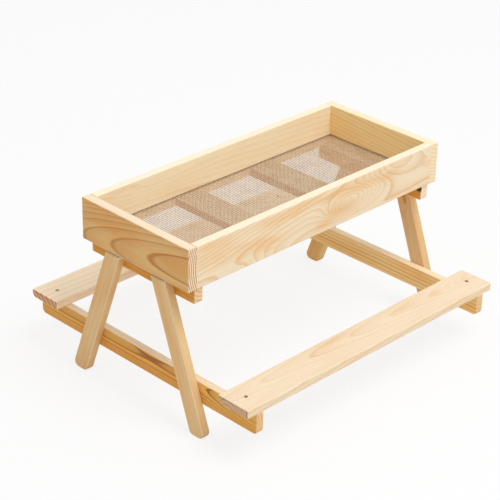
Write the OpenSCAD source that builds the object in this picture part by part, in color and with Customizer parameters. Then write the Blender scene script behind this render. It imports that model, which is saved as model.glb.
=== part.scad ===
// Poultry feeding table: a shallow pine tray with a wire mesh floor, carried on two
// splayed leg frames, with a bench board along each side for the birds to stand on.
// Sizes are in millimetres. Z is up and X runs along the tray. The origin lies on the
// ground, under the middle of the tray.

/* [Tray] */
// Height from the ground to the rim of the tray
rim_h = 210; // [190:1:240]
// Length of the tray over its end boards
tray_l = 375; // [320:1:440]
// Width of the tray over its side boards
tray_w = 160; // [140:1:200]
// Height of the tray boards
tray_h = 47.5; // [38:0.5:60]
// Thickness of the two end boards
end_wall_t = 11; // [10:0.5:14]
// Thickness of the two side boards
side_wall_t = 10; // [9:0.5:14]
// Radius to which the long edges of the boards are eased
edge_r = 1.2; // [0.5:0.1:2]
// Radius of the edges along which an end board meets its cleat
joint_r = 0.3; // [0.2:0.1:0.4]

/* [Mesh floor] */
// Height of the mesh above the lower edge of the tray boards
mesh_lift = 10; // [8:0.5:14]
// Thickness of the mesh
mesh_t = 0.8; // [0.6:0.1:1.2]
// Width of one strand of the mesh
strand_w = 1; // [0.7:0.1:1.6]
// Number of openings along the tray
mesh_cols = 26; // [16:1:27]
// Number of openings across the tray
mesh_rows = 11; // [7:1:11]
// Depth of the saw groove that holds the edge of the mesh
groove_d = 4; // [2.5:0.5:5]
// Room between the mesh and the walls of its groove
groove_gap = 0.4; // [0.3:0.1:0.6]

/* [Floor slats] */
// Width of a slat along the tray
slat_w = 36; // [26:1:46]
// Distance between the middles of the two slats
slat_pitch = 112; // [90:1:130]
// Distance of the pair of slats from the middle of the tray, towards the right end
slat_shift = 7; // [0:1:14]
// Room between a slat and the mesh above it
slat_gap = 0.3; // [0.1:0.1:0.5]

/* [Leg frames] */
// Width of a leg, square to its length
leg_w = 20; // [17:0.5:25]
// Thickness of a leg
leg_t = 10.5; // [9:0.5:13]
// Lean of the legs from upright, in degrees
leg_splay = 20; // [16:0.5:23]
// Distance from the face of a side board in to the middle of a leg's top
leg_inset = 46.5; // [38:0.5:54]
// Radius of the corners of the feet
foot_r = 6; // [1:0.5:8]
// Height of the cross cleat under each end of the tray
cleat_h = 18; // [14:0.5:24]
// Thickness of a cleat
cleat_t = 10.5; // [8:0.5:14]
// Radius of the lower corners at the ends of the cleats
cleat_r = 2.5; // [1:0.5:6]
// Distance of the ends of a cleat behind the faces of the side boards
cleat_inset = 2.5; // [1.5:0.5:3.5]
// Length of a stretcher, which is also the depth of the table
stretcher_l = 334; // [310:1:380]
// Height of a stretcher
stretcher_h = 24.5; // [21:0.5:30]
// Thickness of a stretcher
stretcher_t = 9.5; // [8:0.5:13]
// Height of the lower edge of a stretcher above the ground
stretcher_z = 34; // [26:1:42]
// Radius of the lower corners at the ends of the stretchers
end_r = 5.5; // [1:0.5:8]

/* [Benches] */
// Distance that a bench board reaches past each end of the tray
bench_over = 2.5; // [0:0.5:12]
// Width of a bench board
bench_w = 42; // [34:1:52]
// Thickness of a bench board
bench_t = 9.5; // [8:0.5:13]
// Radius of the rounded lower edge at the back of each bench board
bench_round = 6.5; // [2:0.5:7]

/* [Fasteners] */
// Diameter of a screw's shank
screw_d = 2.4; // [2:0.1:2.8]
// Diameter of a screw's head
screw_head_d = 4.2; // [3.8:0.1:5]
// Height of the cone under a screw's head
screw_head_h = 1.4; // [1.2:0.1:2]
// Length of a screw's point
screw_tip = 5; // [4:0.5:7]
// Length of each slot of the cross recess in a screw's head
recess_l = 2.6; // [2:0.1:3]
// Width of each slot of the cross recess
recess_w = 0.6; // [0.4:0.1:0.9]
// Depth of the cross recess
recess_d = 1; // [0.5:0.1:1.2]
// Depth to which the heads of the bench screws are sunk
bench_sink = 2.4; // [0.5:0.1:3.5]
// Depth to which the bench screws bite into the stretchers
bench_bite = 16; // [10:0.5:18]
// Depth to which the leg screws are sunk, and length of the wooden plugs over them
plug_h = 2.5; // [1.5:0.1:3.5]
// Wood that is left beyond the tip of a screw
tip_cover = 1.8; // [1.2:0.1:2.4]
// Diameter of a brad's shank
brad_d = 1.2; // [1:0.1:1.4]
// Diameter of a brad's head
brad_head_d = 1.8; // [1.6:0.1:2.2]
// Thickness of a brad's head
brad_head_h = 0.6; // [0.4:0.1:1]
// Length of a brad's point
brad_tip = 2.4; // [1.5:0.1:4]
// Length of a brad
brad_l = 25; // [20:0.5:30]
// Distance of the corner brads from the upper and lower edges of the end boards
brad_inset = 14; // [13:0.5:16]
// Radial clearance of a fastener in its hole
hole_gap = 0.1; // [0.05:0.05:0.2]

/* [Hidden] */

// Signs that pick an end, a side or a height
LEFT = -1;
RIGHT = 1;
FRONT = -1;
BACK = 1;
BOTH = [-1, 1];

// Flat steps in the arc of an eased edge, and sides of a round hole or screw
arc_steps = 4;
round_fn = 32;
// Length by which a cut runs past the face that it opens
past = 1;

pine = "#e6c893";
end_pine = "#dcb87e";
steel = "#8d8f93";
zinc = "#c3c6c8";

// Levels above the ground
tray_z = rim_h - tray_h;
mesh_z = tray_z + mesh_lift;
bench_z = stretcher_z + stretcher_h;

// Inside of the tray
inner_l = tray_l - 2 * end_wall_t;
inner_w = tray_w - 2 * side_wall_t;

// The mesh reaches into its groove with the same room as it has above and below
groove_h = mesh_t + 2 * groove_gap;
mesh_l = inner_l + 2 * (groove_d - groove_gap);
mesh_w = inner_w + 2 * (groove_d - groove_gap);
slat_t = mesh_lift - mesh_t / 2 - slat_gap;

// Legs stand flush with the end boards, and cleats and stretchers lie behind the legs
frame_x = tray_l / 2 - leg_t;
cleat_x = frame_x - cleat_t / 2;
stretcher_x = frame_x - stretcher_t / 2;
cleat_l = tray_w - 2 * cleat_inset;
leg_half = leg_w / 2 / cos(leg_splay);
leg_top_y = tray_w / 2 - leg_inset;
leg_foot_y = leg_y(0);

bench_l = tray_l + 2 * bench_over;
bench_y = stretcher_l / 2 - bench_w / 2;

// Heights at which the legs are screwed to their cleat and stretcher
cleat_screw_z = tray_z - cleat_h / 2;
stretcher_screw_z = stretcher_z + stretcher_h / 2;
leg_cleat_screw_l = cleat_t + leg_t - plug_h - tip_cover;
leg_stretcher_screw_l = stretcher_t + leg_t - plug_h - tip_cover;

// The cleat screws rise where a cleat lies under a side board, and stop below the groove
cleat_screw_y = (inner_w / 2 + cleat_l / 2) / 2;
cleat_screw_l = cleat_h + mesh_lift - groove_h / 2 - tip_cover;
bench_screw_l = bench_t - bench_sink + bench_bite;

corner_brad_y = inner_w / 2 + side_wall_t / 2;
corner_brad_heights = [tray_z + brad_inset, rim_h - brad_inset];
slat_brad_z = tray_z + slat_t / 2;

// Middle of a leg at a height above the ground
function leg_y(z) = leg_top_y + (tray_z - z) * tan(leg_splay);

// Middle of a slat along the tray
function slat_x(end) = slat_shift + end * slat_pitch / 2;

// Places of the brads along one slat, a quarter of its width either side of its middle
function slat_brad_x(end) = [for (k = BOTH) slat_x(end) + k * slat_w / 4];

// Arc of radius r that eases corner b between its neighbours a and c
function eased_corner(a, b, c, r) =
    let (
        u = (a - b) / norm(a - b),
        v = (c - b) / norm(c - b),
        half = acos(u * v) / 2,
        middle = b + (u + v) / norm(u + v) * r / sin(half),
        from = b + u * r / tan(half) - middle,
        to = b + v * r / tan(half) - middle,
        start = atan2(from.y, from.x),
        sweep = (atan2(to.y, to.x) - start + 540) % 360 - 180
    )
    [for (i = [0 : arc_steps]) let (t = start + sweep * i / arc_steps) middle + r * [cos(t), sin(t)]];

// Outline with each of its corners eased to the radius beside it
function eased(corners, radii) =
    let (n = len(corners))
    [for (i = [0 : n - 1])
        each radii[i] == 0 ? [corners[i]]
            : eased_corner(corners[(i + n - 1) % n], corners[i], corners[(i + 1) % n], radii[i])];

// Rectangle about its middle, with its corners in turn from the lower left
function rectangle(w, h) = [[-w, -h] / 2, [w, -h] / 2, [w, h] / 2, [-w, h] / 2];

function all_edges(r) = [r, r, r, r];

// Extrudes an outline drawn across Y and Z along X
module along_x(l) {
    rotate([90, 0, 90]) linear_extrude(l, center = true) children();
}

// Extrudes an outline drawn across X and Z along Y
module along_y(l) {
    rotate([90, 0, 0]) linear_extrude(l, center = true) children();
}

// Board along X, about its middle, with the radii of its four long edges
module board_x(l, w, h, radii) {
    along_x(l) polygon(eased(rectangle(w, h), radii));
}

// Board along Y, about its middle, with the radii of its lower and upper long edges
module board_y(l, w, h, lower_r = edge_r, upper_r = edge_r) {
    along_y(l) polygon(eased(rectangle(w, h), [lower_r, lower_r, upper_r, upper_r]));
}

// Rail along Y with eased long edges and rounded lower corners at its two ends
module rail(l, w, h, corner_r, upper_r = edge_r) {
    intersection() {
        board_y(l + 2 * past, w, h, edge_r, upper_r);
        along_x(w + 2 * past) polygon(eased(rectangle(l, h), [corner_r, corner_r, 0, 0]));
    }
}

// Countersunk wood screw, driven down from z = 0, with a cross recess in its head
module screw(l) {
    difference() {
        rotate_extrude($fn = round_fn) polygon([
            [0, 0],
            [screw_head_d / 2, 0],
            [screw_d / 2, -screw_head_h],
            [screw_d / 2, screw_tip - l],
            [0, -l]
        ]);
        for (turn = [0, 90])
            rotate(turn) cube([recess_l, recess_w, 2 * recess_d], center = true);
    }
}

// Hole for a screw of length l that is sunk below the face at z = 0
module screw_hole(l, sink = 0) {
    shank_r = screw_d / 2 + hole_gap;
    head_r = screw_head_d / 2 + hole_gap;
    cone_h = screw_head_h + hole_gap;
    translate([0, 0, -sink]) {
        cylinder(r = head_r, h = sink + past, $fn = round_fn);
        translate([0, 0, -cone_h]) cylinder(r1 = shank_r, r2 = head_r, h = cone_h, $fn = round_fn);
        translate([0, 0, -l - hole_gap]) cylinder(r = shank_r, h = l, $fn = round_fn);
    }
}

// Wooden plug over the head of a sunk screw, flush with the face at z = 0
module plug() {
    translate([0, 0, -plug_h]) cylinder(d = screw_head_d, h = plug_h, $fn = round_fn);
}

// Brad driven down from z = 0, with a flat head and a short point
module brad() {
    rotate_extrude($fn = round_fn) polygon([
        [0, 0],
        [brad_head_d / 2, 0],
        [brad_head_d / 2, -brad_head_h],
        [brad_d / 2, -brad_head_h],
        [brad_d / 2, brad_tip - brad_l],
        [0, -brad_l]
    ]);
}

// Hole for a brad driven down from the face at z = 0
module brad_hole() {
    seat_h = brad_head_h + hole_gap;
    translate([0, 0, -seat_h]) cylinder(r = brad_head_d / 2 + hole_gap, h = seat_h + past, $fn = round_fn);
    translate([0, 0, -brad_l - hole_gap]) cylinder(r = brad_d / 2 + hole_gap, h = brad_l, $fn = round_fn);
}

// Places of the fasteners: each turns its children so that they are driven along -Z

module at_corner_brads(end) {
    for (side = BOTH, z = corner_brad_heights)
        translate([end * tray_l / 2, side * corner_brad_y, z]) rotate([0, end * 90, 0]) children();
}

module at_slat_brads(end, side) {
    for (x = slat_brad_x(end))
        translate([x, side * tray_w / 2, slat_brad_z]) rotate([-side * 90, 0, 0]) children();
}

module at_cleat_screws(end) {
    for (side = BOTH)
        translate([end * cleat_x, side * cleat_screw_y, tray_z - cleat_h]) rotate([180, 0, 0]) children();
}

module at_leg_cleat_screw(end, side) {
    translate([end * (frame_x - cleat_t), side * leg_y(cleat_screw_z), cleat_screw_z])
        rotate([0, -end * 90, 0]) children();
}

module at_leg_stretcher_screw(end, side) {
    translate([end * (frame_x - stretcher_t), side * leg_y(stretcher_screw_z), stretcher_screw_z])
        rotate([0, -end * 90, 0]) children();
}

module at_bench_screws(side) {
    for (end = BOTH)
        translate([end * stretcher_x, side * bench_y, bench_z + bench_t]) children();
}

// Side board of the tray, grooved for the mesh and drilled for its fasteners
module side_wall(side) {
    color(pine) difference() {
        translate([0, side * (inner_w + side_wall_t) / 2, tray_z + tray_h / 2])
            board_x(inner_l, side_wall_t, tray_h, all_edges(edge_r));
        translate([0, side * inner_w / 2, mesh_z]) cube([tray_l, 2 * groove_d, groove_h], center = true);
        for (end = BOTH) {
            at_corner_brads(end) brad_hole();
            at_slat_brads(end, side) brad_hole();
            at_cleat_screws(end) screw_hole(cleat_screw_l);
        }
    }
}

// End board of the tray, which covers the ends of both side boards
module end_wall(end) {
    color(end_pine) difference() {
        translate([end * (inner_l + end_wall_t) / 2, 0, tray_z + tray_h / 2])
            board_y(tray_w, end_wall_t, tray_h, joint_r);
        translate([end * inner_l / 2, 0, mesh_z])
            cube([2 * groove_d, inner_w + 2 * groove_d, groove_h], center = true);
        at_corner_brads(end) brad_hole();
    }
}

// Mesh floor, held by its edges in the grooves of the four boards
module mesh_floor() {
    pitch = [(mesh_l - strand_w) / mesh_cols, (mesh_w - strand_w) / mesh_rows];
    gap = pitch - [strand_w, strand_w];
    first = [strand_w - mesh_l, strand_w - mesh_w] / 2;
    color(zinc) translate([0, 0, mesh_z - mesh_t / 2]) linear_extrude(mesh_t) difference() {
        square([mesh_l, mesh_w], center = true);
        for (i = [0 : mesh_cols - 1], j = [0 : mesh_rows - 1])
            translate([first.x + pitch.x * (i + 1 / 2), first.y + pitch.y * (j + 1 / 2)])
                square(gap, center = true);
    }
}

// Flat slat under the mesh, held between the side boards
module floor_slat(end) {
    color(pine) difference() {
        translate([slat_x(end), 0, tray_z + slat_t / 2]) board_y(inner_w, slat_w, slat_t);
        for (side = BOTH)
            at_slat_brads(end, side) brad_hole();
    }
}

// Cleat under the end of the tray, to which a pair of legs is screwed
module cleat(end) {
    color(end_pine) difference() {
        translate([end * cleat_x, 0, tray_z - cleat_h / 2]) rail(cleat_l, cleat_t, cleat_h, cleat_r, joint_r);
        at_cleat_screws(end) screw_hole(cleat_screw_l);
        for (side = BOTH)
            at_leg_cleat_screw(end, side) screw_hole(leg_cleat_screw_l, plug_h);
    }
}

// Splayed leg, cut level at its top and foot
module leg(end, side) {
    outline = [
        [leg_foot_y - leg_half, 0],
        [leg_foot_y + leg_half, 0],
        [leg_top_y + leg_half, tray_z],
        [leg_top_y - leg_half, tray_z]
    ];
    bar_l = tray_z / cos(leg_splay) + 2 * leg_w;
    color(pine) difference() {
        mirror([0, side == FRONT ? 1 : 0, 0]) translate([end * (frame_x + leg_t / 2), 0, 0]) intersection() {
            translate([0, leg_y(tray_z / 2), tray_z / 2]) rotate([leg_splay, 0, 0])
                linear_extrude(bar_l, center = true)
                    polygon(eased(rectangle(leg_t, leg_w), all_edges(edge_r)));
            along_x(leg_t + 2 * past) polygon(eased(outline, [foot_r, foot_r, 0, 0]));
        }
        at_leg_cleat_screw(end, side) screw_hole(leg_cleat_screw_l, plug_h);
        at_leg_stretcher_screw(end, side) screw_hole(leg_stretcher_screw_l, plug_h);
    }
}

// Stretcher across the legs of one frame, which carries the ends of both benches
module stretcher(end) {
    color(end_pine) difference() {
        translate([end * stretcher_x, 0, stretcher_z + stretcher_h / 2])
            rail(stretcher_l, stretcher_t, stretcher_h, end_r);
        for (side = BOTH) {
            at_leg_stretcher_screw(end, side) screw_hole(leg_stretcher_screw_l, plug_h);
            at_bench_screws(side) screw_hole(bench_screw_l, bench_sink);
        }
    }
}

// Bench board that lies on the ends of both stretchers
module bench(side) {
    color(pine) difference() {
        translate([0, side * bench_y, bench_z + bench_t / 2])
            board_x(bench_l, bench_w, bench_t, [edge_r, bench_round, edge_r, edge_r]);
        at_bench_screws(side) screw_hole(bench_screw_l, bench_sink);
    }
}

module corner_brads(end) {
    color(steel) at_corner_brads(end) brad();
}

module slat_brads() {
    color(steel)
        for (end = BOTH, side = BOTH)
            at_slat_brads(end, side) brad();
}

module cleat_screws(end) {
    color(steel) at_cleat_screws(end) screw(cleat_screw_l);
}

module leg_screws(end) {
    color(steel)
        for (side = BOTH) {
            at_leg_cleat_screw(end, side) translate([0, 0, -plug_h]) screw(leg_cleat_screw_l);
            at_leg_stretcher_screw(end, side) translate([0, 0, -plug_h]) screw(leg_stretcher_screw_l);
        }
}

module leg_plugs(end) {
    color(end_pine)
        for (side = BOTH) {
            at_leg_cleat_screw(end, side) plug();
            at_leg_stretcher_screw(end, side) plug();
        }
}

module bench_screws(side) {
    color(steel) at_bench_screws(side) translate([0, 0, -bench_sink]) screw(bench_screw_l);
}

side_wall(FRONT);  // front_wall
side_wall(BACK);  // back_wall
end_wall(LEFT);  // left_end_wall
end_wall(RIGHT);  // right_end_wall
mesh_floor();
floor_slat(LEFT);  // left_floor_slat
floor_slat(RIGHT);  // right_floor_slat
cleat(LEFT);  // left_cleat
cleat(RIGHT);  // right_cleat
leg(LEFT, FRONT);  // left_front_leg
leg(LEFT, BACK);  // left_back_leg
leg(RIGHT, FRONT);  // right_front_leg
leg(RIGHT, BACK);  // right_back_leg
stretcher(LEFT);  // left_stretcher
stretcher(RIGHT);  // right_stretcher
bench(FRONT);  // front_bench
bench(BACK);  // back_bench
corner_brads(LEFT);  // left_corner_brads
corner_brads(RIGHT);  // right_corner_brads
slat_brads();
cleat_screws(LEFT);  // left_cleat_screws
cleat_screws(RIGHT);  // right_cleat_screws
leg_screws(LEFT);  // left_leg_screws
leg_screws(RIGHT);  // right_leg_screws
leg_plugs(LEFT);  // left_leg_plugs
leg_plugs(RIGHT);  // right_leg_plugs
bench_screws(FRONT);  // front_bench_screws
bench_screws(BACK);  // back_bench_screws
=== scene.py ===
import math

import bmesh
import bpy
import numpy as np
from mathutils import Matrix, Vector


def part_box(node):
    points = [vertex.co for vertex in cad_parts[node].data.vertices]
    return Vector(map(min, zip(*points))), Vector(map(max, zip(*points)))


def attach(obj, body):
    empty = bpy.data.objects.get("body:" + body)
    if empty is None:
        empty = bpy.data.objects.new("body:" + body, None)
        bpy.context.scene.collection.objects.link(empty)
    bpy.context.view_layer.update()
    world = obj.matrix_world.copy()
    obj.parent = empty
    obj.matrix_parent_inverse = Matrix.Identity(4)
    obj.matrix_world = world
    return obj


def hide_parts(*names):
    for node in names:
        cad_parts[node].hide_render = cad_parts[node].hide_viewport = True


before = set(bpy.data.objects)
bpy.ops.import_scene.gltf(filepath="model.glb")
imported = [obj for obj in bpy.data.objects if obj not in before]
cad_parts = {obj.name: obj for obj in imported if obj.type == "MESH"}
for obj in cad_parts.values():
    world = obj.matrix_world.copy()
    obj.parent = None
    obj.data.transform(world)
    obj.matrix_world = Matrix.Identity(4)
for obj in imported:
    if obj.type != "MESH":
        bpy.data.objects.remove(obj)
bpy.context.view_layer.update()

# Side boards of the tray: two planed pine boards stood on edge, with their long edges eased by
# sanding. A saw groove along the inside of each board holds the edge of the mesh floor.

MM = 0.001
side_ease = 1.2
side_end_ease = 0.4
groove_room = 1.1
arc_steps = 5
sapwood = "#f0debf"
pale_sapwood = "#ffeecb"
soft_summerwood = "#e2b274"
plain_ends = ("#efcfa8", "#c69a6e")
warm_flush = "#fbd9a8"
resin_gold = "#f2c474"
# Cream of the painted highlight on upward faces.
top_highlight_cream = "#fdf0d6"
# Cream of the painted highlight along the arrises.
arris_white = "#fae6c6"
duct_brown = "#b98a58"
slow_wander = (1 / 110, 1 / 30, 1 / 30)
fine_wander = (1 / 24, 1 / 6, 1 / 6)
fibre_run = (1 / 60, 1.1, 1.1)
cloud_run = (1 / 90, 1 / 20, 1 / 20)
duct_run = (1 / 6, 1.7, 1.7)
pore_run = (0.9, 0.9, 0.9)
knot_rag = (0.3, 0.3, 0.3)
knot_lift = 2.5
knot_spread = 1.6
weak_rim = 0.4
ring_shade = 0.28
arris_width = 1.8
arris_edge = 0.2
wood_rough = 0.66
wood_gloss = 0.3
grain_bump = 0.3
grain_depth = 0.0003


class Shade:
    """A value in a material's node tree. Arithmetic on it adds Math nodes, and node() adds any other
    node, from its type, its settings, the values or links of its sockets and the output to take."""

    def __init__(self, tree, socket=None):
        self.tree = tree
        self.socket = socket

    def node(self, kind, settings, sockets, out=0):
        made = self.tree.nodes.new(kind)
        for name, value in settings.items():
            setattr(made, name, value)
        for key, value in sockets.items():
            if isinstance(value, Shade):
                self.tree.links.new(value.socket, made.inputs[key])
            else:
                made.inputs[key].default_value = value
        return Shade(self.tree, made.outputs[out] if made.outputs else None)

    def math(self, operation, *values):
        return self.node("ShaderNodeMath", {"operation": operation}, dict(enumerate(values)))

    def __add__(self, other):
        return self.math("ADD", self, other)

    def __radd__(self, other):
        return self.math("ADD", other, self)

    def __sub__(self, other):
        return self.math("SUBTRACT", self, other)

    def __rsub__(self, other):
        return self.math("SUBTRACT", other, self)

    def __mul__(self, other):
        return self.math("MULTIPLY", self, other)

    def __rmul__(self, other):
        return self.math("MULTIPLY", other, self)

    def __truediv__(self, other):
        return self.math("DIVIDE", self, other)

    def __rtruediv__(self, other):
        return self.math("DIVIDE", other, self)

    def __pow__(self, other):
        return self.math("POWER", self, other)

    def __rpow__(self, other):
        return self.math("POWER", other, self)

    def __abs__(self):
        return self.math("ABSOLUTE", self)


def cleared(block):
    """Empties the node tree of a new material or sky, and gives the shade that its nodes start from."""
    block.use_nodes = True
    block.node_tree.nodes.clear()
    return Shade(block.node_tree)


def surfaced(start, sockets):
    """Ends a material's nodes in one Principled surface with the given sockets."""
    surface = start.node("ShaderNodeBsdfPrincipled", {}, sockets, "BSDF")
    start.node("ShaderNodeOutputMaterial", {}, {"Surface": surface})


def colour(code):
    """Linear red, green, blue and alpha of a colour written as #rrggbb."""
    shown = np.array([int(code[i:i + 2], 16) for i in (1, 3, 5)]) / 255
    linear = np.where(shown <= 0.04045, shown / 12.92, ((shown + 0.055) / 1.055) ** 2.4)
    return (*linear.tolist(), 1.0)


def step(value, low, high):
    """Smooth step of a value from 0 at low to 1 at high."""
    return value.node("ShaderNodeMapRange", {"interpolation_type": "SMOOTHSTEP"},
                      {"Value": value, "From Min": low, "From Max": high})


def mixed(factor, first, second, blend="MIX"):
    """Colour between two colours, or one colour blended over the other."""
    base = factor if isinstance(factor, Shade) else first
    return base.node("ShaderNodeMix", {"data_type": "RGBA", "blend_type": blend, "clamp_factor": True},
                     {0: factor, 6: first, 7: second}, 2)


def noise(point, stretch, detail, seed):
    """Noise from 0 to 1 about a half, at a point scaled by the three factors of stretch."""
    scaled = point.node("ShaderNodeVectorMath", {"operation": "MULTIPLY_ADD"},
                        {0: point, 1: stretch, 2: (seed, 2 * seed, 3 * seed)})
    return point.node("ShaderNodeTexNoise", {}, {"Vector": scaled, "Scale": 1.0, "Detail": detail})


def pine(name, board, early, late, pith, ring, contrast, pale, seed, lean=(0.0, 0.0), bow=(0.0, 0.0),
         curve=0.0, shift=0.0, warp=1.2, soft=0.5, flush=0.55, ends=plain_ends, swirls=(), stains=(),
         knots=()):
    """Solid pine, in millimetres from the middle of a board: a runs along its grain, b across its
    width and c through its thickness. The growth rings are the distance from a pith that leans and
    bows as it runs along the board. In a board sawn flat and far from the pith they are the depth plus
    a curve times the square of the way across. They are warped by slow noise, and lifted by bells where
    the grain swirls or goes round a knot. Each ring darkens to a thin hard rim, and resin stains are
    soft golden bells. End grain is dull. Upward faces are paled towards cream by the pale factor as a
    painted highlight, and the arrises a little as a painted highlight along the edges. A swirl or stain
    is its place along and across, its length, its width and how much it lifts or stains. A knot is its
    place, its half sizes and its colour."""
    made = bpy.data.materials.new(name)
    start = cleared(made)
    point = start.node("ShaderNodeTexCoord", {}, {}, "Object")
    facing = start.node("ShaderNodeTexCoord", {}, {}, "Normal")

    def part_along(vector, axis):
        return vector.node("ShaderNodeVectorMath", {"operation": "DOT_PRODUCT"},
                           {0: vector, 1: axis}, "Value")

    middle = [float(np.dot(board["middle"], axis)) for axis in board["axes"]]
    a, b, c = (part_along(point, axis) / MM - at for axis, at in zip(board["axes"], middle))
    local = start.node("ShaderNodeCombineXYZ", {}, {0: a, 1: b, 2: c})

    def bell(at_a, at_b, long, wide):
        off = ((a - at_a) / long) ** 2 + ((b - at_b) / wide) ** 2
        return start.math("EXPONENT", 0 - off)

    across = b - (pith[0] + a * (lean[0] + bow[0] * a))
    deep = c - (pith[1] + a * (lean[1] + bow[1] * a))
    if curve:
        reach = deep + curve * across * across
    else:
        reach = (across * across + deep * deep) ** 0.5
    reach = reach + 2 * warp * (noise(local, slow_wander, 1.0, seed) - 0.5)
    reach = reach + 0.35 * warp * (noise(local, fine_wander, 2.0, seed + 5) - 0.5)
    for *spot, rise in swirls:
        reach = reach + rise * bell(*spot)
    blots = []
    for (at_a, at_b, at_c), (long, wide, thick), tone in knots:
        off = (((a - at_a) / long) ** 2 + ((b - at_b) / wide) ** 2 + ((c - at_c) / thick) ** 2) ** 0.5
        reach = reach + knot_lift * wide * start.math("EXPONENT", 0 - (off / knot_spread) ** 2)
        ragged = off + 0.5 * (noise(local, knot_rag, 2.0, seed) - 0.5)
        blots.append((step(ragged, 1.1, 0.6), tone))

    turns = reach / ring + shift
    within = start.math("FRACT", turns)
    luck = start.node("ShaderNodeTexWhiteNoise", {"noise_dimensions": "1D"},
                      {"W": start.math("FLOOR", turns) + seed}, "Value")
    rim = step(within, soft, 0.9) * step(within, 1.0, 0.94) * (weak_rim + (1 - weak_rim) * luck)
    rim = start.math("MAXIMUM", rim, ring_shade * step(within, 0.05, 0.8))

    fibre = noise(local, fibre_run, 3.0, seed + 2)
    cloud = noise(local, cloud_run, 2.0, seed + 3)
    duct = step(noise(local, duct_run, 1.0, seed + 4), 0.67, 0.78)
    pores = noise(local, pore_run, 2.0, seed + 6)
    sawn = step(abs(part_along(facing, board["axes"][0])), 0.5, 0.9)
    lit_top = step(part_along(facing, (0.0, 0.0, 1.0)), 0.5, 0.95)
    near = [step(abs(along), size / 2 - arris_width, size / 2 - arris_edge)
            for along, size in zip((a, b, c), board["size"])]
    arris = near[0] * near[1] + near[1] * near[2] + near[2] * near[0]

    tint = mixed(rim * contrast, colour(early), colour(late))
    tint = mixed(flush * step(cloud, 0.42, 0.72), tint, colour(warm_flush), "MULTIPLY")
    for *spot, much in stains:
        tint = mixed(much * bell(*spot), tint, colour(resin_gold), "MULTIPLY")
    # Painted highlight: upward faces are paled towards cream by the pale factor.
    tint = mixed(pale * lit_top, tint, colour(top_highlight_cream))
    # Painted highlight: the arrises are paled a little towards cream.
    tint = mixed(0.3 * arris, tint, colour(arris_white))
    end_rim = step(within, 0.45, 0.8) * step(within, 1.0, 0.9)
    end_dark = start.math("MINIMUM", 0.85 * end_rim + 0.35 * step(pores, 0.45, 0.75), 1.0)
    end_tint = mixed(end_dark, colour(ends[0]), colour(ends[1]))
    tint = mixed(0.9 * sawn, tint, end_tint)
    tint = mixed(0.3 * duct * (1 - sawn), tint, colour(duct_brown), "MULTIPLY")
    for blot, tone in blots:
        tint = mixed(0.9 * blot, tint, colour(tone))
    tint = mixed(1.0, tint, 0.94 + 0.12 * fibre, "MULTIPLY")

    rough = wood_rough - 0.1 * rim + 0.1 * (fibre - 0.5) + 0.08 * sawn
    height = 0.6 * fibre + 0.5 * rim - 0.4 * duct
    grain = start.node("ShaderNodeBump", {},
                       {"Strength": grain_bump, "Distance": grain_depth, "Height": height}, "Normal")
    surfaced(start, {"Base Color": tint, "Roughness": rough, "Normal": grain,
                     "Specular IOR Level": wood_gloss})
    return made


def eased_outline(corners, radii):
    """Closed anticlockwise outline with an arc at each corner. The arc's middle lies back along the
    edge that comes in by r tan(turn / 2), and inwards by r. Gives the points and their outward normals."""
    corners = np.array(corners, float)
    radii = np.array(radii, float)[:, None]
    into = corners - np.roll(corners, 1, axis=0)
    into /= np.linalg.norm(into, axis=1, keepdims=True)
    onward = np.roll(into, -1, axis=0)
    outward = np.stack([into[:, 1], -into[:, 0]], axis=1)
    turn = np.arccos(np.sum(into * onward, axis=1))[:, None]
    middle = corners - radii * np.tan(turn / 2) * into - radii * outward
    angle = np.arctan2(outward[:, 1:], outward[:, :1]) + turn * np.linspace(0, 1, arc_steps + 1)
    normals = np.stack([np.cos(angle), np.sin(angle)], axis=2)
    points = middle[:, None] + radii[:, None] * normals
    return points.reshape(-1, 2), normals.reshape(-1, 2)


def rectangle(low, high):
    """Corners of a rectangle, anticlockwise from its lower left one."""
    return [low, (high[0], low[1]), high, (low[0], high[1])]


def grooved(outline, normals, side, face, level, height, depth):
    """Adds a groove to the flat on the right (side 1) or left (side -1) of a rectangular outline, and
    says how far each point sinks where the groove is open."""
    at = (2 if side > 0 else 4) * (arc_steps + 1)
    heights = level + side * height / 2 * np.array([-1, -1, 1, 1])
    notch = np.stack([np.full(4, face), heights], axis=1)
    sink = np.zeros((len(outline) + 4, 2))
    sink[at + 1:at + 3, 0] = -side * depth
    outline = np.insert(outline, [at], notch, axis=0)
    normals = np.insert(normals, [at], np.tile([side, 0.0], (4, 1)), axis=0)
    return outline, normals, sink


def eased_run(first, last, ease):
    """Places along a board, and how far the outline draws in there: at each end a quarter of a circle of
    radius ease, where the place goes as 1 - cos and the draw as 1 - sin."""
    angle = np.linspace(0, math.pi / 2, arc_steps + 1)
    depth = ease * (1 - np.cos(angle))
    draw = ease * (1 - np.sin(angle))
    return np.concatenate([first + depth, last - depth[::-1]]), np.concatenate([draw, draw[::-1]])


def carried(outline, normals, places, draw, axis, sink=0, opened=0):
    """Rings of points of an outline carried along an axis: each point draws in along its normal and
    sinks into the groove where that is open."""
    flat = outline - draw[:, None, None] * normals + np.reshape(opened, (-1, 1, 1)) * sink
    rings = np.empty((len(places), len(outline), 3))
    rings[..., axis] = places[:, None]
    rings[..., [k for k in range(3) if k != axis]] = flat
    return rings


def tube_faces(rings, around, first=0):
    """Quads between successive closed rings of points, numbered ring by ring."""
    j, i = np.mgrid[0:rings - 1, 0:around]
    k = (i + 1) % around
    quads = np.stack([j * around + i, j * around + k, (j + 1) * around + k, (j + 1) * around + i], axis=-1)
    return (quads.reshape(-1, 4) + first).tolist()


def capped_faces(rings, around):
    """Quads of a tube of rings, with one flat face over each end."""
    last = (rings - 1) * around
    return tube_faces(rings, around) + [list(range(around)), list(range(last, last + around))]


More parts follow.
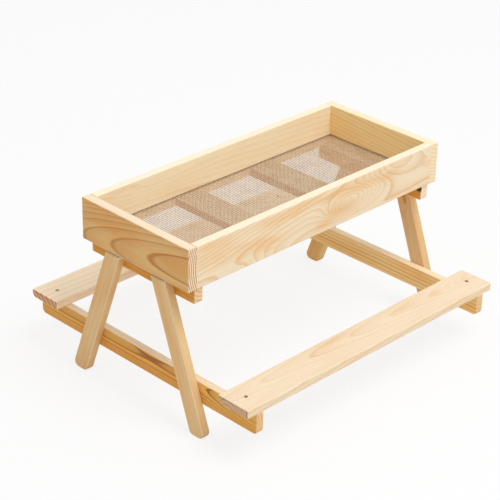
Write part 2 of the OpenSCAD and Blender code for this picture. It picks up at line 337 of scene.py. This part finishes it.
def add_piece(name, points, faces, material, nodes, crease=40):
    """Mesh from points in millimetres, with its doubles merged and its faces turned outwards."""
    mesh = bpy.data.meshes.new(name)
    mesh.from_pydata((np.reshape(points, (-1, 3)) * MM).tolist(), [], faces)
    edit = bmesh.new()
    edit.from_mesh(mesh)
    bmesh.ops.remove_doubles(edit, verts=edit.verts, dist=1e-6)
    bmesh.ops.recalc_face_normals(edit, faces=edit.faces)
    edit.to_mesh(mesh)
    edit.free()
    mesh.polygons.foreach_set("use_smooth", np.ones(len(mesh.polygons), bool))
    mesh.set_sharp_from_angle(angle=math.radians(crease))
    mesh.materials.append(material)
    piece = bpy.data.objects.new(name, mesh)
    bpy.context.scene.collection.objects.link(piece)
    even = piece.modifiers.new("even_faces", "WEIGHTED_NORMAL")
    even.keep_sharp = True
    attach(piece, "root")
    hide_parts(*nodes)


def millimetres(node):
    """Lowest and highest corner of a solid of the frame, in millimetres."""
    return tuple(np.array(corner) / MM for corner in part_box(node))


def board_of(low, high, axes):
    """A straight board's middle, its directions along, across and through, and its sizes on them."""
    size = [float(abs(np.dot(high - low, axis))) for axis in axes]
    return {"middle": (low + high) / 2, "axes": axes, "size": size}


mesh_low, mesh_high = millimetres("mesh_floor")
mesh_level = (mesh_low[2] + mesh_high[2]) / 2
groove_height = mesh_high[2] - mesh_low[2] + 2 * groove_room

side_grain = {
    "front_wall": {"early": sapwood, "pith": (-24, -58), "lean": (0.14, 0.02), "ring": 2.7,
                   "contrast": 0.74, "warp": 1.6, "seed": 3.0,
                   "swirls": [(50, 1, 42, 13, 17), (32, -5, 20, 7, 8), (118, 33, 44, 22, -16),
                              (-118, -30, 45, 19, 10)],
                   "stains": [(30, -6, 24, 8, 0.5), (5, -15, 14, 5, 0.45), (105, 8, 20, 8, 0.25)]},
    "back_wall": {"early": pale_sapwood, "pith": (-40, 42), "lean": (-0.04, 0.02), "ring": 5.0,
                  "contrast": 0.3, "warp": 3.0, "flush": 0.2, "seed": 9.0,
                  "swirls": [(-90, 12, 70, 10, 9)]},
}
for node, side in (("front_wall", -1), ("back_wall", 1)):
    low, high = millimetres(node)
    inner = low[1] if side > 0 else high[1]
    depth = mesh_high[1] + groove_room - abs(inner)
    outline, normals = eased_outline(rectangle(low[1:], high[1:]), [side_ease] * 4)
    outline, normals, sink = grooved(outline, normals, -side, inner, mesh_level, groove_height, depth)
    places, draw = eased_run(low[0], high[0], side_end_ease)
    rings = carried(outline, normals, places, draw, 0, sink, np.ones(len(places)))
    board = board_of(low, high, ((1, 0, 0), (0, 0, 1), (0, side, 0)))
    wood = pine(node + "_pine", board, late=soft_summerwood, pale=0.85, **side_grain[node])
    add_piece(node + "_board", rings, capped_faces(*rings.shape[:2]), wood, [node])

# End boards of the tray: two golden pine boards that cover the ends of the side boards and are nailed
# to them. Their groove stops short of the corners, so that only plain end grain shows there.

end_ease = 1.2
end_joint_ease = 0.5
end_end_ease = 0.5
groove_step = 0.01
golden_wood = "#e4b879"
dark_summerwood = "#b26e1e"
bold_ends = ("#fce4c0", "#83401e")
# The right end board takes a paler, fainter pine than the left one, though both are the same wood: painted
# light on its inner face, which lies in the shade of the tray.
painted_light_golden_wood = "#ffe3a6"
light_summerwood = "#e0a850"
faint_ends = ("#f5dfbc", "#ebcfa8")

end_grain = {
    "left_end_wall": {"early": golden_wood, "late": dark_summerwood, "ends": bold_ends,
                      "pith": (-9.3, 0.0), "lean": (-0.112, -0.04394), "bow": (0.0, -0.00013),
                      "curve": 0.0078, "ring": 2.6, "shift": 1.155, "soft": 0.74, "contrast": 0.8,
                      "warp": 0.2, "seed": 4.0},
    "right_end_wall": {"early": painted_light_golden_wood, "late": light_summerwood, "ends": faint_ends,
                       "pith": (58, 22), "lean": (0.05, 0.05), "ring": 4.2, "contrast": 0.52, "warp": 1.8,
                       "flush": 0.2, "seed": 6.0},
}
for node, end in (("left_end_wall", -1), ("right_end_wall", 1)):
    low, high = millimetres(node)
    inner = low[0] if end > 0 else high[0]
    depth = mesh_high[0] + groove_room - abs(inner)
    stop = mesh_high[1] + groove_room
    radii = [end_joint_ease, end_joint_ease, end_ease, end_ease]
    outline, normals = eased_outline(rectangle(low[[0, 2]], high[[0, 2]]), radii)
    outline, normals, sink = grooved(outline, normals, -end, inner, mesh_level, groove_height, depth)
    places, draw = eased_run(low[1], high[1], end_end_ease)
    half = len(places) // 2
    stops = [-stop, groove_step - stop, stop - groove_step, stop]
    places = np.insert(places, half, stops)
    draw = np.insert(draw, half, np.zeros(4))
    opened = (abs(places) < stop - groove_step / 2).astype(float)
    rings = carried(outline, normals, places, draw, 1, sink, opened)
    board = board_of(low, high, ((0, 1, 0), (0, 0, 1), (end, 0, 0)))
    wood = pine(node + "_pine", board, pale=0.75, **end_grain[node])
    add_piece(node + "_board", rings, capped_faces(*rings.shape[:2]), wood, [node])

# Mesh floor: plain-woven wire cloth of dull zinc on steel, rolled a little flat. Each wire rises and
# dips over its neighbours in turn, and all four edges lie in the grooves of the boards.

wire_d = 0.86
wire_height = 0.68
wire_pitch = 3.05
wire_sides = 8
wire_crease = 120
wire_rough = 0.42
wire_metal = 0.2
# The warm beige of the wire is partly painted reflection of the pine around it.
wire_dark = "#cbb295"
wire_light = "#e4cdb0"
tarnish_brown = "#b89d78"
dip_clouds = (160.0, 160.0, 160.0)
tarnish_clouds = (45.0, 45.0, 45.0)


def woven_wires(low, high, along):
    """Wires along one axis: at its crossing with wire t, wire k lies half a wire up or down, as
    cos(pi (t + k)) says, so that it passes over and under the wires that cross it. The section is an
    oval of points, wider than high, carried along every wire at once and closed at both ends."""
    other = 1 - along
    count = [int(round((high[k] - low[k] - wire_d) / wire_pitch)) for k in (0, 1)]
    pitch = [(high[k] - low[k] - wire_d) / count[k] for k in (0, 1)]
    t = np.arange(count[along] + 1)
    wire = np.arange(count[other] + 1)
    wave = np.cos(np.pi * (t + wire[:, None])) * (1 if along == 0 else -1)
    angle = 2 * np.pi * np.arange(wire_sides) / wire_sides
    points = np.empty((len(wire), len(t), wire_sides, 3))
    points[..., along] = (low[along] + wire_d / 2 + pitch[along] * t)[None, :, None]
    middle = (low[other] + wire_d / 2 + pitch[other] * wire)[:, None, None]
    points[..., other] = middle + wire_d / 2 * np.cos(angle)
    points[..., 2] = mesh_level + wire_height / 2 * (wave[..., None] + np.sin(angle))
    sides = np.array(tube_faces(len(t), wire_sides))
    ends = np.arange(wire_sides) + np.array([[0], [(len(t) - 1) * wire_sides]])
    first = (np.arange(len(wire)) * len(t) * wire_sides)[:, None, None]
    faces = (sides + first).reshape(-1, 4).tolist() + (ends + first).reshape(-1, wire_sides).tolist()
    return points, faces


def zinc_wire(name):
    """Dull zinc: a warm beige grey, the warmth partly painted reflection of the pine around it, that
    clouds with the dip, browner and rougher where it begins to tarnish.
    """
    made = bpy.data.materials.new(name)
    start = cleared(made)
    point = start.node("ShaderNodeTexCoord", {}, {}, "Object")
    dip = noise(point, dip_clouds, 2.0, 1.0)
    tarnish = step(noise(point, tarnish_clouds, 3.0, 2.0), 0.45, 0.7)
    tint = mixed(dip, colour(wire_dark), colour(wire_light))
    tint = mixed(0.35 * tarnish, tint, colour(tarnish_brown))
    rough = wire_rough + 0.25 * tarnish
    surfaced(start, {"Base Color": tint, "Roughness": rough, "Metallic": wire_metal})
    return made


zinc = zinc_wire("zinc_wire")
for name, along in (("mesh_long_wires", 0), ("mesh_cross_wires", 1)):
    points, faces = woven_wires(mesh_low, mesh_high, along)
    add_piece(name, points, faces, zinc, ["mesh_floor"], wire_crease)

# Floor slats: two flat pine boards across the tray, just below the mesh, which keep it from sagging.
# They lie between the side boards and are nailed through them.

slat_ease = 1.2
slat_end_ease = 0.4
# The slats' own colour shows on their sides and is a darker orange pine as painted shade. With pale at one,
# their tops take all of the cream of the painted highlight.
slat_shaded_side_wood = "#c48c4c"
slat_shaded_side_summerwood = "#a06a32"

slat_grain = {
    "left_floor_slat": {"pith": (30, -25), "seed": 11.0},
    "right_floor_slat": {"pith": (-22, -30), "seed": 13.0},
}
for node, grain in slat_grain.items():
    low, high = millimetres(node)
    outline, normals = eased_outline(rectangle(low[[0, 2]], high[[0, 2]]), [slat_ease] * 4)
    places, draw = eased_run(low[1], high[1], slat_end_ease)
    rings = carried(outline, normals, places, draw, 1)
    board = board_of(low, high, ((0, 1, 0), (1, 0, 0), (0, 0, 1)))
    wood = pine(node + "_pine", board, slat_shaded_side_wood, slat_shaded_side_summerwood, ring=4.6, contrast=0.5, pale=1.0,
                lean=(0.03, 0.02), **grain)
    add_piece(node + "_board", rings, capped_faces(*rings.shape[:2]), wood, [node])

# Cleats: a pine batten under each end of the tray, screwed up into the side boards from below. The
# legs of that end are screwed to it. Its solid has the right shape and takes a golden pine, and the
# right one has a dark streak and a dark patch near the top of its inner face, one at each end.

rail_gold = "#dfa142"
light_gold = "#e39b3e"
rail_summerwood = "#a4641a"
left_cleat_ends = ("#f2d2a8", "#dcae80")
right_cleat_ends = ("#fbe6cc", "#efd0ac")
cleat_dark_streak = "#3c2009"
cleat_dark_patch = "#1c0d06"

cleat_grain = {
    "left_cleat": {"early": rail_gold, "ends": left_cleat_ends, "pith": (26, 12), "lean": (0.03, 0.02),
                   "contrast": 0.7, "pale": 0.6, "seed": 15.0},
    "right_cleat": {"early": light_gold, "ends": right_cleat_ends, "pith": (-24, 16), "lean": (0.02, -0.03),
                    "contrast": 0.5, "pale": 0.75, "seed": 17.0,
                    # Two dark marks near the top of the inner face, drawn with the knot pattern of the
                    # pine.
                    "knots": [((67, 0.5, -5.2), (13.0, 2.3, 2.0), cleat_dark_streak),
                              ((-75, 5.5, -5.2), (8.0, 5.0, 1.4), cleat_dark_patch)]},
}
for node, grain in cleat_grain.items():
    board = board_of(*millimetres(node), ((0, 1, 0), (0, 0, 1), (1, 0, 0)))
    wood = pine(node + "_pine", board, late=rail_summerwood, ring=4.6, **grain)
    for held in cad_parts[node].material_slots:
        held.material = wood

# Legs: four lengths of pine, splayed to the front and back and cut level at the top and the foot, with
# a thin shadow gap under the tray. They are screwed to their cleat and stretcher from inside, and the
# corners of the feet are rounded.

leg_width = 20.0
leg_lean = math.radians(20)
leg_half = leg_width / 2 / math.cos(leg_lean)
leg_ease = 1.3
foot_corner = 6.0
leg_top_corner = 1.0
leg_top_gap = 1.0
leg_wood = "#e6c28d"
# The right back leg takes a deeper golden pine than the other three as painted shade.
back_leg_shaded_wood = "#eabf7a"
leg_knot = "#cf8634"
leg_knot_tail = "#cf8a38"
leg_summerwood = "#d29e5c"
# The legs' end grain is darker than plain ends: partly end grain, partly painted shade in the gap under the
# tray.
leg_ends = ("#cf9f68", "#a5764a")

leg_grain = {
    "left_front_leg": {"early": leg_wood, "pith": (40, -22), "lean": (0.02, 0.01), "seed": 21.0},
    "left_back_leg": {"early": leg_wood, "pith": (-46, -18), "lean": (-0.02, 0.02), "seed": 23.0},
    "right_front_leg": {"early": leg_wood, "pith": (34, 20), "lean": (0.03, 0.02), "seed": 25.0,
                        "knots": [((66, 2, -5.2), (10.0, 6.5, 3.6), leg_knot),
                                  ((55, 1.5, -5.2), (9.0, 2.8, 2.6), leg_knot_tail)]},
    "right_back_leg": {"early": back_leg_shaded_wood, "pith": (-38, 24), "lean": (0.02, -0.02), "seed": 27.0},
}
for node, grain in leg_grain.items():
    low, high = millimetres(node)
    side = 1 if low[1] > 0 else -1
    top = min(abs(low[1]), abs(high[1])) + leg_half
    foot = top + high[2] * math.tan(leg_lean)
    head = top + leg_top_gap * math.tan(leg_lean)
    head_z = high[2] - leg_top_gap
    corners = [(foot - leg_half, 0), (foot + leg_half, 0),
               (head + leg_half, head_z), (head - leg_half, head_z)]
    outline, normals = eased_outline(corners, [foot_corner, foot_corner, leg_top_corner, leg_top_corner])
    outline[:, 0] *= side
    normals[:, 0] *= side
    places, draw = eased_run(low[0], high[0], leg_ease)
    rings = carried(outline, normals, places, draw, 0)
    up_leg = np.array([0, -side * math.sin(leg_lean), math.cos(leg_lean)])
    board = {"middle": np.array([(low[0] + high[0]) / 2, side * (top + foot) / 2, high[2] / 2]),
             "axes": (tuple(up_leg), (0, side * math.cos(leg_lean), math.sin(leg_lean)), (1, 0, 0)),
             "size": (high[2] / math.cos(leg_lean), leg_width, float(high[0] - low[0]))}
    wood = pine(node + "_pine", board, late=leg_summerwood, ring=6.0, contrast=0.35, pale=0.5,
                ends=leg_ends, **grain)
    add_piece(node + "_post", rings, capped_faces(*rings.shape[:2]), wood, [node])

# Stretchers: a golden pine rail across each pair of legs, screwed to their inner faces. Its ends
# stand out to the front and back to carry the benches.

rail_ease = 1.2
rail_corner = 5.5
rail_top_corner = 1.3
rail_ends = ("#ecc896", "#d4a672")
left_rail_wood = "#f0b558"
left_rail_summerwood = "#7c3f0c"
right_rail_wood = "#fcd692"
right_rail_summerwood = "#b9802f"

stretcher_grain = {
    "left_stretcher": {"early": left_rail_wood, "late": left_rail_summerwood, "pith": (8, 0), "curve": 0.05,
                       "ring": 4.6, "shift": 1.587, "contrast": 1.0, "soft": 0.66, "seed": 31.0,
                       "swirls": [(-8, 9, 28, 7, 1.5), (-165, 4, 55, 24, -15)],
                       "stains": [(-8, 9, 13, 3.5, 0.6)]},
    "right_stretcher": {"early": right_rail_wood, "late": right_rail_summerwood, "pith": (40, -20),
                        "lean": (0.02, 0.03), "ring": 4.2, "contrast": 0.75, "warp": 1.6, "seed": 33.0},
}
rail_pine = {}
for node, grain in stretcher_grain.items():
    low, high = millimetres(node)
    radii = [rail_corner, rail_corner, rail_top_corner, rail_top_corner]
    outline, normals = eased_outline(rectangle(low[1:], high[1:]), radii)
    places, draw = eased_run(low[0], high[0], rail_ease)
    rings = carried(outline, normals, places, draw, 0)
    board = board_of(low, high, ((0, 1, 0), (0, 0, 1), (1, 0, 0)))
    rail_pine[node] = pine(node + "_pine", board, pale=0.7, ends=rail_ends, **grain)
    add_piece(node + "_rail", rings, capped_faces(*rings.shape[:2]), rail_pine[node], [node])

# Plugs: short pine pegs over the sunk heads of the leg screws, glued in and sanded nearly flush with
# the inner faces of the cleats and stretchers, so that they hardly show.

plug_r = 2.1
plug_l = 2.5
plug_proud = 0.08
plug_chamfer = 0.2
plug_sides = 16
plug_profile = np.array([(0, -plug_l), (plug_r, -plug_l), (plug_r, plug_proud / 2),
                         (plug_r - plug_chamfer, plug_proud), (0, plug_proud)])


def turned(profile, places, axis, sign, sides):
    """Solids of revolution about an axis at several places: a profile of radius and height, with the
    height counted outwards from the place, turned through a full circle of the given number of sides."""
    r, h = profile.T
    angle = 2 * np.pi * np.arange(sides) / sides
    first, second = [k for k in range(3) if k != axis]
    points = np.empty((len(places), len(r), sides, 3))
    points[..., axis] = places[:, None, None, axis] + sign * h[:, None]
    points[..., first] = places[:, None, None, first] + r[:, None] * np.cos(angle)
    points[..., second] = places[:, None, None, second] + r[:, None] * np.sin(angle)
    one = np.array(tube_faces(len(r), sides))
    faces = one + (np.arange(len(places)) * len(r) * sides)[:, None, None]
    return points.reshape(-1, 3), faces.reshape(-1, 4).tolist()


leg_low, leg_high = millimetres("left_back_leg")
for end, sign in (("left", 1), ("right", -1)):
    places = []
    for rail in (end + "_cleat", end + "_stretcher"):
        low, high = millimetres(rail)
        z = (low[2] + high[2]) / 2
        y = leg_low[1] + leg_half + (leg_high[2] - z) * math.tan(leg_lean)
        x = high[0] if sign > 0 else low[0]
        places += [(x, -y, z), (x, y, z)]
    places = np.array(places)
    points, faces = turned(plug_profile, places, 0, sign, plug_sides)
    add_piece(end + "_plugs", points, faces, rail_pine[end + "_stretcher"], [end + "_leg_plugs"])

# Benches: a pine board along each side, laid on the ends of the stretchers and screwed down into
# them, with the heads sunk below the surface. The back lower edge of each board is rounded over.

bench_ease = 1.2
bench_end_ease = 1.6
bench_round = 6.5
screw_hole_sides = 32
hole_cell = 12.0
hole_rim = 0.2
head_r = 2.2
head_sink = 2.4
shank_r = 1.3
cone_end = 3.9
hole_profile = ((head_r + hole_rim, 0.0), (head_r, hole_rim), (head_r, head_sink), (shank_r, cone_end))
bench_wood = "#f0dcbd"
# The back bench takes a paler pine than the front one as painted light, set against the shadow that the
# tray casts on it.
back_bench_lit_wood = "#ffe9ca"
bench_summerwood = "#d8b080"
bench_ends = ("#d0ab86", "#b98f6c")
back_bench_ends = ("#e0a878", "#8e5430")


def screw_hole(points, faces, cell, top, bottom, middle, around):
    """Opens a hole through a board. The flat quad above it and the one below it give way to triangles
    from their corners to a circle, and the hole is a profile of radius and depth turned about its axis."""
    first = len(points)
    angle = np.pi * (0.75 + 2 * np.arange(screw_hole_sides) / screw_hole_sides)
    profile = [(r, top - d) for r, d in hole_profile] + [(hole_profile[-1][0], bottom)]
    r, z = np.array(profile).T[:, :, None]
    x, y = middle
    rings = np.stack([x + r * np.cos(angle), y + r * np.sin(angle), z + 0 * angle], axis=-1)
    faces = faces + tube_faces(len(profile), screw_hole_sides, first)
    quarter = screw_hole_sides // 4
    spots = np.arange(screw_hole_sides)
    above = [3 * (arc_steps + 1) - 1, 3 * (arc_steps + 1)]
    below = [arc_steps + 1, arc_steps]
    last = first + (len(profile) - 1) * screw_hole_sides
    here = cell * around
    there = here + around
    for (one, two), ring in ((above, first), (below, last)):
        corners = [here + one, here + two, there + two, there + one]
        nearest = np.take(corners, ((spots + quarter // 2) // quarter) % 4)
        onward = ring + (spots + 1) % screw_hole_sides
        faces = faces + np.stack([nearest, ring + spots, onward], axis=1).tolist()
        halfway = ring + quarter // 2 + quarter * np.arange(4)
        faces = faces + np.stack([corners, halfway, np.roll(corners, -1)], axis=1).tolist()
    return np.concatenate([points, rings.reshape(-1, 3)]), faces


bench_grain = {
    "front_bench": {"early": bench_wood, "ends": bench_ends, "pith": (7, 0), "lean": (0.0, 0.095),
                    "curve": 0.05, "shift": 0.99, "warp": 1.0, "seed": 41.0,
                    "swirls": [(186, 3, 36, 12, -16)],
                    "stains": [(-30, 14, 24, 4, 0.5), (74, 9, 20, 4, 0.4), (124, 6, 12, 5, 0.4)]},
    "back_bench": {"early": back_bench_lit_wood, "ends": back_bench_ends, "pith": (46, -36),
                   "lean": (0.02, 0.03), "warp": 2.6, "seed": 43.0},
}
hole_x = [float(np.mean(millimetres(rail), axis=0)[0]) for rail in stretcher_grain]
cells = [x + off for x in hole_x for off in (-hole_cell, hole_cell)]
for node, grain in bench_grain.items():
    low, high = millimetres(node)
    radii = [bench_ease, bench_round, bench_ease, bench_ease]
    outline, normals = eased_outline(rectangle(low[1:], high[1:]), radii)
    around = len(outline)
    places, draw = eased_run(low[0], high[0], bench_end_ease)
    half = len(places) // 2
    places = np.insert(places, half, cells)
    draw = np.insert(draw, half, np.zeros(len(cells)))
    rings = carried(outline, normals, places, draw, 0)
    points = rings.reshape(-1, 3)
    faces = capped_faces(*rings.shape[:2])
    holes = [half, half + 2]
    opened = {cell * around + flat for cell in holes for flat in (arc_steps, 3 * (arc_steps + 1) - 1)}
    faces = [face for k, face in enumerate(faces) if k not in opened]
    middle_y = (low[1] + high[1]) / 2
    for cell, x in zip(holes, hole_x):
        points, faces = screw_hole(points, faces, cell, high[2], low[2], (x, middle_y), around)
    board = board_of(low, high, ((1, 0, 0), (0, 1, 0), (0, 0, 1)))
    wood = pine(node + "_pine", board, late=bench_summerwood, ring=6.0, contrast=0.85, pale=0.35,
                soft=0.78, flush=0.3, **grain)
    add_piece(node + "_board", points, faces, wood, [node])

# Screws: countersunk steel screws with a cross recess in the head, in a dull dark grey that is partly
# plating and partly painted shade for the sunk holes. Their solids have the right shape, and only the
# sunk heads in the benches and those under the cleats are seen.

# Dark grey of the screws, partly plating and partly painted shade for the sunk holes.
dark_plating_and_hole_shade = "#47433e"
plating_light = "#7d786f"
plating_clouds = (300.0, 300.0, 300.0)
turning_marks = (900.0, 900.0, 4000.0)
plating_rough = 0.35
steel_metal = 0.9


def dull_steel(name):
    """Dull plated steel: a dark grey, partly painted shade for the sunk holes, that varies a little from
    place to place, with faint turning marks.
    """
    made = bpy.data.materials.new(name)
    start = cleared(made)
    point = start.node("ShaderNodeTexCoord", {}, {}, "Object")
    plating = noise(point, plating_clouds, 3.0, 7.0)
    marks = noise(point, turning_marks, 2.0, 8.0)
    tint = mixed(plating, colour(dark_plating_and_hole_shade), colour(plating_light))
    surfaced(start, {"Base Color": tint, "Roughness": plating_rough + 0.3 * marks, "Metallic": steel_metal})
    return made


plated = dull_steel("dull_steel")
for node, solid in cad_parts.items():
    if node.endswith("_screws"):
        for held in solid.material_slots:
            held.material = plated

# Brads: thin headed nails through the corners of the tray and into the ends of the slats. They are
# punched in and stopped with filler the colour of the wood, so that they hardly show.

brad_head_r = 0.9
brad_head_h = 0.6
brad_shank_r = 0.6
brad_l = 25.0
brad_tip = 2.4
brad_sides = 12
brad_grey = "#6a655d"
brad_rough = 0.45
slat_shares = (0.25, 0.75)
filler_proud = 0.05
filler_depth = 0.5
filler_edge = 0.3
filler_clouds = (700.0, 700.0, 700.0)
slat_fillers = ("#eecfa2", "#f8e0bc")
brad_profile = np.array([(0, filler_proud), (brad_head_r, filler_proud), (brad_head_r, -brad_head_h),
                         (brad_shank_r, -brad_head_h), (brad_shank_r, brad_tip - brad_l), (0, -brad_l)])


def stopped_brad(name, axis, face, fillers):
    """Dull steel that turns to wood filler at the faces of the boards, where the coordinate on an axis,
    in millimetres either way, comes within a hair of the face. The filler varies between two colours."""
    made = bpy.data.materials.new(name)
    start = cleared(made)
    point = start.node("ShaderNodeTexCoord", {}, {}, "Object")
    out = abs(start.node("ShaderNodeSeparateXYZ", {}, {0: point}, axis)) / MM
    stopped = step(out, face - filler_depth, face - filler_edge)
    putty = mixed(noise(point, filler_clouds, 2.0, 3.0), colour(fillers[0]), colour(fillers[1]))
    tint = mixed(stopped, colour(brad_grey), putty)
    surfaced(start, {"Base Color": tint, "Roughness": brad_rough + 0.25 * stopped,
                     "Metallic": steel_metal - steel_metal * stopped})
    return made


corner_fillers = {"left_corner_brads": ("#d6a25c", "#e6b976"), "right_corner_brads": ("#eecb8c", "#fbdfa8")}
for (node, fillers), sign in zip(corner_fillers.items(), (-1, 1)):
    low, high = millimetres(node)
    x = low[0] if sign < 0 else high[0]
    places = np.array([(x, y, z) for y in (low[1] + brad_head_r, high[1] - brad_head_r)
                       for z in (low[2] + brad_head_r, high[2] - brad_head_r)])
    points, faces = turned(brad_profile, places, 0, sign, brad_sides)
    brad_steel = stopped_brad(node + "_steel", 0, abs(x), fillers)
    add_piece(node + "_stopped", points, faces, brad_steel, [node])

low, high = millimetres("slat_brads")
slats = [millimetres(node) for node in slat_grain]
brad_x = [share * slat_low[0] + (1 - share) * slat_high[0]
          for slat_low, slat_high in slats for share in slat_shares]
points, faces = [], []
for sign, y in ((-1, low[1]), (1, high[1])):
    places = np.array([(x, y, (low[2] + high[2]) / 2) for x in brad_x])
    some, quads = turned(brad_profile, places, 1, sign, brad_sides)
    faces += (np.array(quads) + len(points) * len(some)).tolist()
    points.append(some)
brad_steel = stopped_brad("slat_brads_steel", 1, high[1], slat_fillers)
add_piece("slat_brads_stopped", np.concatenate(points), faces, brad_steel, ["slat_brads"])

# Studio: a wide floor of pale paper under a soft round lamp, above and a little to the front, and an even
# sky. Tops are brightest, the long front is light, the left end lies in half shade and the ground
# stays near white.

floor_half = 6000.0
key_from = np.array([0.06, -0.46, 0.88])
key_distance = 2.4
key_size = 1.5
key_power = 28.0
sky_light = 0.68
ground_white = 0.8
paper_grey = (0.9, 0.9, 0.9, 1.0)
plain_white = (1.0, 1.0, 1.0, 1.0)


def seen_directly(start):
    """One for rays from the camera, and for those that metal or glass sends on to it."""
    rays = [start.node("ShaderNodeLightPath", {}, {}, kind)
            for kind in ("Is Camera Ray", "Is Glossy Ray", "Is Transmission Ray")]
    return start.math("MINIMUM", rays[0] + rays[1] + rays[2], 1.0)


def facing_frame(back, roll=0.0):
    """Right, up and back directions of something that looks along -back, rolled about that line."""
    back = back / np.linalg.norm(back)
    right = np.cross([0, 0, 1], back)
    right /= np.linalg.norm(right)
    up = np.cross(back, right)
    rolled_right = math.cos(roll) * right + math.sin(roll) * up
    rolled_up = math.cos(roll) * up - math.sin(roll) * right
    return rolled_right, rolled_up, back


def stand(thing, place, axes):
    """Puts a lamp or camera at a place in metres with its three axes."""
    pose = np.eye(4)
    pose[:3, :3] = np.array(axes).T
    pose[:3, 3] = place
    thing.matrix_world = Matrix(pose)


ground = bpy.data.materials.new("pale_ground")
start = cleared(ground)
paper = start.node("ShaderNodeBsdfDiffuse", {}, {"Color": paper_grey}, "BSDF")
white = start.node("ShaderNodeEmission", {}, {"Color": plain_white, "Strength": 1.0}, "Emission")
whitened = ground_white * seen_directly(start)
shown = start.node("ShaderNodeMixShader", {}, {0: whitened, 1: paper, 2: white}, "Shader")
start.node("ShaderNodeOutputMaterial", {}, {"Surface": shown})

floor_mesh = bpy.data.meshes.new("studio_floor")
floor_corners = np.array(rectangle((-floor_half, -floor_half), (floor_half, floor_half))) * MM
floor_mesh.from_pydata(np.pad(floor_corners, ((0, 0), (0, 1))).tolist(), [], [[0, 1, 2, 3]])
floor_mesh.materials.append(ground)
floor = bpy.data.objects.new("studio_floor", floor_mesh)
bpy.context.scene.collection.objects.link(floor)

sky = bpy.data.worlds.new("studio_sky")
start = cleared(sky)
soft = start.node("ShaderNodeBackground", {}, {"Color": plain_white, "Strength": sky_light}, "Background")
plain = start.node("ShaderNodeBackground", {}, {"Color": plain_white, "Strength": 1.0}, "Background")
shown = start.node("ShaderNodeMixShader", {}, {0: seen_directly(start), 1: soft, 2: plain}, "Shader")
start.node("ShaderNodeOutputWorld", {}, {"Surface": shown})
bpy.context.scene.world = sky
bpy.context.scene.view_settings.view_transform = "Standard"

tray_bottom = np.array([0, 0, millimetres("front_wall")[0][2]])
key = bpy.data.lights.new("soft_key", "AREA")
key.shape = "DISK"
key.size = key_size
key.energy = key_power
key_lamp = bpy.data.objects.new("soft_key", key)
bpy.context.scene.collection.objects.link(key_lamp)
key_place = tray_bottom * MM + key_distance * key_from / np.linalg.norm(key_from)
stand(key_lamp, key_place, facing_frame(key_from))

# Camera: the photograph's view, from the front left and above. The lens is given by its focal length
# in pixels of a picture 500 wide, and the aim by how far the tray's underside lies off the middle.

picture_width = 500
sensor_width = 36
focal_pixels = 1702.5
view_turn = math.radians(-45.38)
view_height = math.radians(27.83)
view_roll = math.radians(1.23)
view_distance = 1826.8
off_right = 16.8
off_up = 44.5

back = np.array([math.sin(view_turn) * math.cos(view_height), -math.cos(view_turn) * math.cos(view_height),
                 math.sin(view_height)])
axes = facing_frame(back, view_roll)
place = tray_bottom - off_right * axes[0] - off_up * axes[1] + view_distance * axes[2]
lens = bpy.data.cameras.new("photo_view")
lens.sensor_width = sensor_width
lens.lens = focal_pixels * sensor_width / picture_width
camera = bpy.data.objects.new("photo_view", lens)
bpy.context.scene.collection.objects.link(camera)
stand(camera, place * MM, axes)
bpy.context.scene.camera = camera
